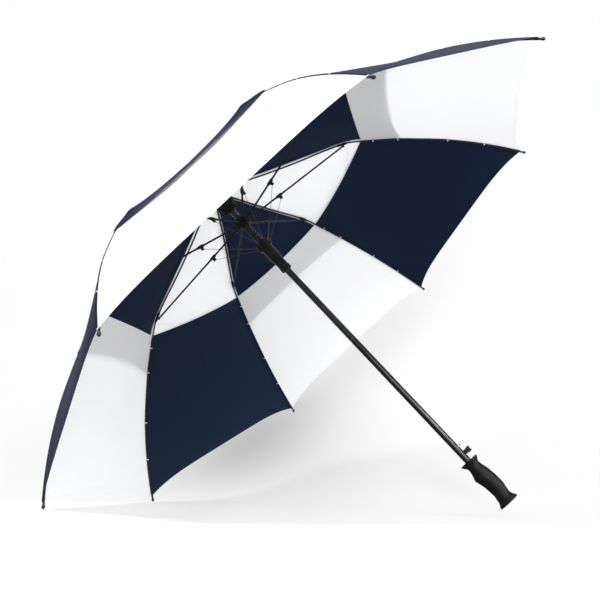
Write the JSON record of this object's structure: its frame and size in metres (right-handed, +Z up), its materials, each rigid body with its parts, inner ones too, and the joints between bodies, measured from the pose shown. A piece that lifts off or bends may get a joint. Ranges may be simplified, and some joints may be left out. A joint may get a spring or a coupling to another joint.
{
  "type": "golf umbrella",
  "caption": "Vented double-canopy golf umbrella, open, with chequered navy and white panels, folding ribs, sliding runner, shaped grip and release button.",
  "frame": {"origin": "centre of the shaft's axis on the flat butt face of the grip", "axes": "+Z up the shaft towards the ferrule; rib 1 lies along +X; the release button faces 157.5 degrees round from +X"},
  "size_m": [1.35, 1.35, 0.988],
  "materials": {
    "shaft_metal": "black gloss coat",
    "grip_rubber": "matt, fine grained",
    "black_plastic": "satin",
    "hub_plastic": "satin",
    "runner_plastic": "satin",
    "button_plastic": "satin",
    "catch_metal": "nickel plated",
    "spring_steel": "oiled",
    "rib_fibreglass": "pultruded, semi-gloss",
    "stretcher_steel": "black coat",
    "wire_steel": "drawn",
    "navy_cloth": "fine plain weave",
    "white_cloth": "fine plain weave"
  },
  "bodies": {
    "shaft": {"shaft_tube": "shaft_metal", "grip": "grip_rubber", "crown_notch": "black_plastic", "ferrule": "black_plastic", "main_spring": "spring_steel"},
    "rib_1": {"rib_inner_1": "rib_fibreglass", "upper_panel_1": "navy_cloth"},
    "rib_2": {"rib_inner_2": "rib_fibreglass", "upper_panel_2": "white_cloth"},
    "rib_3": {"rib_inner_3": "rib_fibreglass", "upper_panel_3": "navy_cloth"},
    "rib_4": {"rib_inner_4": "rib_fibreglass", "upper_panel_4": "white_cloth"},
    "rib_5": {"rib_inner_5": "rib_fibreglass", "upper_panel_5": "navy_cloth"},
    "rib_6": {"rib_inner_6": "rib_fibreglass", "upper_panel_6": "white_cloth"},
    "rib_7": {"rib_inner_7": "rib_fibreglass", "upper_panel_7": "navy_cloth"},
    "rib_8": {"rib_inner_8": "rib_fibreglass", "upper_panel_8": "white_cloth"},
    "rib_end_1": {"rib_outer_1": "rib_fibreglass", "lower_panel_1": "white_cloth"},
    "rib_end_2": {"rib_outer_2": "rib_fibreglass", "lower_panel_2": "navy_cloth"},
    "rib_end_3": {"rib_outer_3": "rib_fibreglass", "lower_panel_3": "white_cloth"},
    "rib_end_4": {"rib_outer_4": "rib_fibreglass", "lower_panel_4": "navy_cloth"},
    "rib_end_5": {"rib_outer_5": "rib_fibreglass", "lower_panel_5": "white_cloth"},
    "rib_end_6": {"rib_outer_6": "rib_fibreglass", "lower_panel_6": "navy_cloth"},
    "rib_end_7": {"rib_outer_7": "rib_fibreglass", "lower_panel_7": "white_cloth"},
    "rib_end_8": {"rib_outer_8": "rib_fibreglass", "lower_panel_8": "navy_cloth"},
    "stretcher_1": {"stretcher_1": "stretcher_steel"},
    "stretcher_2": {"stretcher_2": "stretcher_steel"},
    "stretcher_3": {"stretcher_3": "stretcher_steel"},
    "stretcher_4": {"stretcher_4": "stretcher_steel"},
    "stretcher_5": {"stretcher_5": "stretcher_steel"},
    "stretcher_6": {"stretcher_6": "stretcher_steel"},
    "stretcher_7": {"stretcher_7": "stretcher_steel"},
    "stretcher_8": {"stretcher_8": "stretcher_steel"},
    "brace_1": {"brace_wire_1": "wire_steel"},
    "brace_2": {"brace_wire_2": "wire_steel"},
    "brace_3": {"brace_wire_3": "wire_steel"},
    "brace_4": {"brace_wire_4": "wire_steel"},
    "brace_5": {"brace_wire_5": "wire_steel"},
    "brace_6": {"brace_wire_6": "wire_steel"},
    "brace_7": {"brace_wire_7": "wire_steel"},
    "brace_8": {"brace_wire_8": "wire_steel"},
    "upper_hub": {"upper_hub": "hub_plastic", "hub_spring": "spring_steel"},
    "runner": {"runner_sleeve": "runner_plastic"},
    "release_button": {"release_button": "button_plastic"},
    "runner_catch": {"runner_catch": "catch_metal"}
  },
  "joints": [
    {"name": "rib_1_fold", "type": "hinge", "parent": "shaft", "child": "rib_1", "pos_m": [0.016, 0, 0.8583], "axis": [0, 1, 0], "range_deg": [0, 82.6], "stiffness_Nm_per_rad": 1.2, "springref_deg": -28.65, "deforming": ["upper_panel_1", "main_spring"]},
    {"name": "rib_2_fold", "type": "hinge", "parent": "shaft", "child": "rib_2", "pos_m": [0.01131, -0.01131, 0.8583], "axis": [0.7071, 0.7071, 0], "range_deg": [-0.5, 83.1], "stiffness_Nm_per_rad": 1.2, "springref_deg": -28.65, "deforming": ["upper_panel_2"]},
    {"name": "rib_3_fold", "type": "hinge", "parent": "shaft", "child": "rib_3", "pos_m": [0, -0.016, 0.8583], "axis": [1, 0, 0], "range_deg": [-0.5, 83.1], "stiffness_Nm_per_rad": 1.2, "springref_deg": -28.65, "deforming": ["upper_panel_3"]},
    {"name": "rib_4_fold", "type": "hinge", "parent": "shaft", "child": "rib_4", "pos_m": [-0.01131, -0.01131, 0.8583], "axis": [0.7071, -0.7071, 0], "range_deg": [-0.5, 83.1], "stiffness_Nm_per_rad": 1.2, "springref_deg": -28.65, "deforming": ["upper_panel_4"]},
    {"name": "rib_5_fold", "type": "hinge", "parent": "shaft", "child": "rib_5", "pos_m": [-0.016, 0, 0.8583], "axis": [0, -1, 0], "range_deg": [-0.5, 83.1], "stiffness_Nm_per_rad": 1.2, "springref_deg": -28.65, "deforming": ["upper_panel_5"]},
    {"name": "rib_6_fold", "type": "hinge", "parent": "shaft", "child": "rib_6", "pos_m": [-0.01131, 0.01131, 0.8583], "axis": [-0.7071, -0.7071, 0], "range_deg": [-0.5, 83.1], "stiffness_Nm_per_rad": 1.2, "springref_deg": -28.65, "deforming": ["upper_panel_6"]},
    {"name": "rib_7_fold", "type": "hinge", "parent": "shaft", "child": "rib_7", "pos_m": [0, 0.016, 0.8583], "axis": [-1, 0, 0], "range_deg": [-0.5, 83.1], "stiffness_Nm_per_rad": 1.2, "springref_deg": -28.65, "deforming": ["upper_panel_7"]},
    {"name": "rib_8_fold", "type": "hinge", "parent": "shaft", "child": "rib_8", "pos_m": [0.01131, 0.01131, 0.8583], "axis": [-0.7071, 0.7071, 0], "range_deg": [-0.5, 83.1], "stiffness_Nm_per_rad": 1.2, "springref_deg": -28.65, "deforming": ["upper_panel_8"]},
    {"name": "rib_1_flex", "type": "hinge", "parent": "rib_1", "child": "rib_end_1", "pos_m": [0.3448, 0, 0.835], "axis": [0, 1, 0], "range_deg": [-34.7, 0.5], "deforming": ["lower_panel_1"]},
    {"name": "rib_2_flex", "type": "hinge", "parent": "rib_2", "child": "rib_end_2", "pos_m": [0.24381, -0.24381, 0.835], "axis": [0.7071, 0.7071, 0], "range_deg": [-34.7, 0.5], "deforming": ["lower_panel_2"]},
    {"name": "rib_3_flex", "type": "hinge", "parent": "rib_3", "child": "rib_end_3", "pos_m": [0, -0.3448, 0.835], "axis": [1, 0, 0], "range_deg": [-34.7, 0.5], "deforming": ["lower_panel_3"]},
    {"name": "rib_4_flex", "type": "hinge", "parent": "rib_4", "child": "rib_end_4", "pos_m": [-0.24381, -0.24381, 0.835], "axis": [0.7071, -0.7071, 0], "range_deg": [-34.7, 0.5], "deforming": ["lower_panel_4"]},
    {"name": "rib_5_flex", "type": "hinge", "parent": "rib_5", "child": "rib_end_5", "pos_m": [-0.3448, 0, 0.835], "axis": [0, -1, 0], "range_deg": [-34.7, 0.5], "deforming": ["lower_panel_5"]},
    {"name": "rib_6_flex", "type": "hinge", "parent": "rib_6", "child": "rib_end_6", "pos_m": [-0.24381, 0.24381, 0.835], "axis": [-0.7071, -0.7071, 0], "range_deg": [-34.7, 0.5], "deforming": ["lower_panel_6"]},
    {"name": "rib_7_flex", "type": "hinge", "parent": "rib_7", "child": "rib_end_7", "pos_m": [0, 0.3448, 0.835], "axis": [-1, 0, 0], "range_deg": [-34.7, 0.5], "deforming": ["lower_panel_7"]},
    {"name": "rib_8_flex", "type": "hinge", "parent": "rib_8", "child": "rib_end_8", "pos_m": [0.24381, 0.24381, 0.835], "axis": [-0.7071, 0.7071, 0], "range_deg": [-34.7, 0.5], "deforming": ["lower_panel_8"]},
    {"name": "stretcher_1_pivot", "type": "hinge", "parent": "rib_1", "child": "stretcher_1", "pos_m": [0.3276, 0, 0.8334], "axis": [0, 1, 0], "range_deg": [-165.7, 0.5]},
    {"name": "stretcher_2_pivot", "type": "hinge", "parent": "rib_2", "child": "stretcher_2", "pos_m": [0.23165, -0.23165, 0.8334], "axis": [0.7071, 0.7071, 0], "range_deg": [-165.7, 0.5]},
    {"name": "stretcher_3_pivot", "type": "hinge", "parent": "rib_3", "child": "stretcher_3", "pos_m": [0, -0.3276, 0.8334], "axis": [1, 0, 0], "range_deg": [-165.7, 0.5]},
    {"name": "stretcher_4_pivot", "type": "hinge", "parent": "rib_4", "child": "stretcher_4", "pos_m": [-0.23165, -0.23165, 0.8334], "axis": [0.7071, -0.7071, 0], "range_deg": [-165.7, 0.5]},
    {"name": "stretcher_5_pivot", "type": "hinge", "parent": "rib_5", "child": "stretcher_5", "pos_m": [-0.3276, 0, 0.8334], "axis": [0, -1, 0], "range_deg": [-165.7, 0.5]},
    {"name": "stretcher_6_pivot", "type": "hinge", "parent": "rib_6", "child": "stretcher_6", "pos_m": [-0.23165, 0.23165, 0.8334], "axis": [-0.7071, -0.7071, 0], "range_deg": [-165.7, 0.5]},
    {"name": "stretcher_7_pivot", "type": "hinge", "parent": "rib_7", "child": "stretcher_7", "pos_m": [0, 0.3276, 0.8334], "axis": [-1, 0, 0], "range_deg": [-165.7, 0.5]},
    {"name": "stretcher_8_pivot", "type": "hinge", "parent": "rib_8", "child": "stretcher_8", "pos_m": [0.23165, 0.23165, 0.8334], "axis": [-0.7071, 0.7071, 0], "range_deg": [-165.7, 0.5]},
    {"name": "brace_wire_1_pivot", "type": "hinge", "parent": "stretcher_1", "child": "brace_1", "pos_m": [0.11249, 0, 0.80869], "axis": [0, 1, 0], "range_deg": [-0.5, 36.18]},
    {"name": "brace_wire_2_pivot", "type": "hinge", "parent": "stretcher_2", "child": "brace_2", "pos_m": [0.07954, -0.07954, 0.80869], "axis": [0.7071, 0.7071, 0], "range_deg": [-0.5, 36.18]},
    {"name": "brace_wire_3_pivot", "type": "hinge", "parent": "stretcher_3", "child": "brace_3", "pos_m": [0, -0.11249, 0.80869], "axis": [1, 0, 0], "range_deg": [-0.5, 36.18]},
    {"name": "brace_wire_4_pivot", "type": "hinge", "parent": "stretcher_4", "child": "brace_4", "pos_m": [-0.07954, -0.07954, 0.80869], "axis": [0.7071, -0.7071, 0], "range_deg": [-0.5, 36.18]},
    {"name": "brace_wire_5_pivot", "type": "hinge", "parent": "stretcher_5", "child": "brace_5", "pos_m": [-0.11249, 0, 0.80869], "axis": [0, -1, 0], "range_deg": [-0.5, 36.18]},
    {"name": "brace_wire_6_pivot", "type": "hinge", "parent": "stretcher_6", "child": "brace_6", "pos_m": [-0.07954, 0.07954, 0.80869], "axis": [-0.7071, -0.7071, 0], "range_deg": [-0.5, 36.18]},
    {"name": "brace_wire_7_pivot", "type": "hinge", "parent": "stretcher_7", "child": "brace_7", "pos_m": [0, 0.11249, 0.80869], "axis": [-1, 0, 0], "range_deg": [-0.5, 36.18]},
    {"name": "brace_wire_8_pivot", "type": "hinge", "parent": "stretcher_8", "child": "brace_8", "pos_m": [0.07954, 0.07954, 0.80869], "axis": [-0.7071, 0.7071, 0], "range_deg": [-0.5, 36.18]},
    {"name": "hub_pivot", "type": "hinge", "parent": "stretcher_1", "child": "upper_hub", "pos_m": [0.016, 0, 0.8085], "axis": [0, 1, 0], "range_deg": [-0.5, 83.1]},
    {"name": "runner_slide", "type": "slide", "parent": "upper_hub", "child": "runner", "axis": [0, 0, 1], "range_m": [-0.0005, 0.04927], "deforming": ["hub_spring"]},
    {"name": "button_press", "type": "slide", "parent": "shaft", "child": "release_button", "axis": [0.9239, -0.3827, 0], "range_m": [0, 0.0028], "stiffness_N_per_m": 400, "springref_m": -0.0015},
    {"name": "catch_slide", "type": "slide", "parent": "shaft", "child": "runner_catch", "axis": [0.9239, -0.3827, 0], "range_m": [-0.0001, 0.0029]}
  ],
  "couplings": [
    {"joint": "rib_2_fold", "follows": "rib_1_fold", "ratio": 1},
    {"joint": "rib_3_fold", "follows": "rib_1_fold", "ratio": 1},
    {"joint": "rib_4_fold", "follows": "rib_1_fold", "ratio": 1},
    {"joint": "rib_5_fold", "follows": "rib_1_fold", "ratio": 1},
    {"joint": "rib_6_fold", "follows": "rib_1_fold", "ratio": 1},
    {"joint": "rib_7_fold", "follows": "rib_1_fold", "ratio": 1},
    {"joint": "rib_8_fold", "follows": "rib_1_fold", "ratio": 1},
    {"joint": "rib_1_flex", "follows": "rib_1_fold", "ratio": -0.41404},
    {"joint": "rib_2_flex", "follows": "rib_1_fold", "ratio": -0.41404},
    {"joint": "rib_3_flex", "follows": "rib_1_fold", "ratio": -0.41404},
    {"joint": "rib_4_flex", "follows": "rib_1_fold", "ratio": -0.41404},
    {"joint": "rib_5_flex", "follows": "rib_1_fold", "ratio": -0.41404},
    {"joint": "rib_6_flex", "follows": "rib_1_fold", "ratio": -0.41404},
    {"joint": "rib_7_flex", "follows": "rib_1_fold", "ratio": -0.41404},
    {"joint": "rib_8_flex", "follows": "rib_1_fold", "ratio": -0.41404},
    {"joint": "stretcher_1_pivot", "follows": "rib_1_fold", "ratio": -2},
    {"joint": "stretcher_2_pivot", "follows": "rib_1_fold", "ratio": -2},
    {"joint": "stretcher_3_pivot", "follows": "rib_1_fold", "ratio": -2},
    {"joint": "stretcher_4_pivot", "follows": "rib_1_fold", "ratio": -2},
    {"joint": "stretcher_5_pivot", "follows": "rib_1_fold", "ratio": -2},
    {"joint": "stretcher_6_pivot", "follows": "rib_1_fold", "ratio": -2},
    {"joint": "stretcher_7_pivot", "follows": "rib_1_fold", "ratio": -2},
    {"joint": "stretcher_8_pivot", "follows": "rib_1_fold", "ratio": -2},
    {"joint": "brace_wire_1_pivot", "follows": "rib_1_fold", "ratio": 0.43196},
    {"joint": "brace_wire_2_pivot", "follows": "rib_1_fold", "ratio": 0.43196},
    {"joint": "brace_wire_3_pivot", "follows": "rib_1_fold", "ratio": 0.43196},
    {"joint": "brace_wire_4_pivot", "follows": "rib_1_fold", "ratio": 0.43196},
    {"joint": "brace_wire_5_pivot", "follows": "rib_1_fold", "ratio": 0.43196},
    {"joint": "brace_wire_6_pivot", "follows": "rib_1_fold", "ratio": 0.43196},
    {"joint": "brace_wire_7_pivot", "follows": "rib_1_fold", "ratio": 0.43196},
    {"joint": "brace_wire_8_pivot", "follows": "rib_1_fold", "ratio": 0.43196},
    {"joint": "hub_pivot", "follows": "rib_1_fold", "ratio": 1},
    {"joint": "runner_slide", "follows": "rib_1_fold", "m_per_rad": 0.03383},
    {"joint": "catch_slide", "follows": "button_press", "ratio": 1}
  ]
}
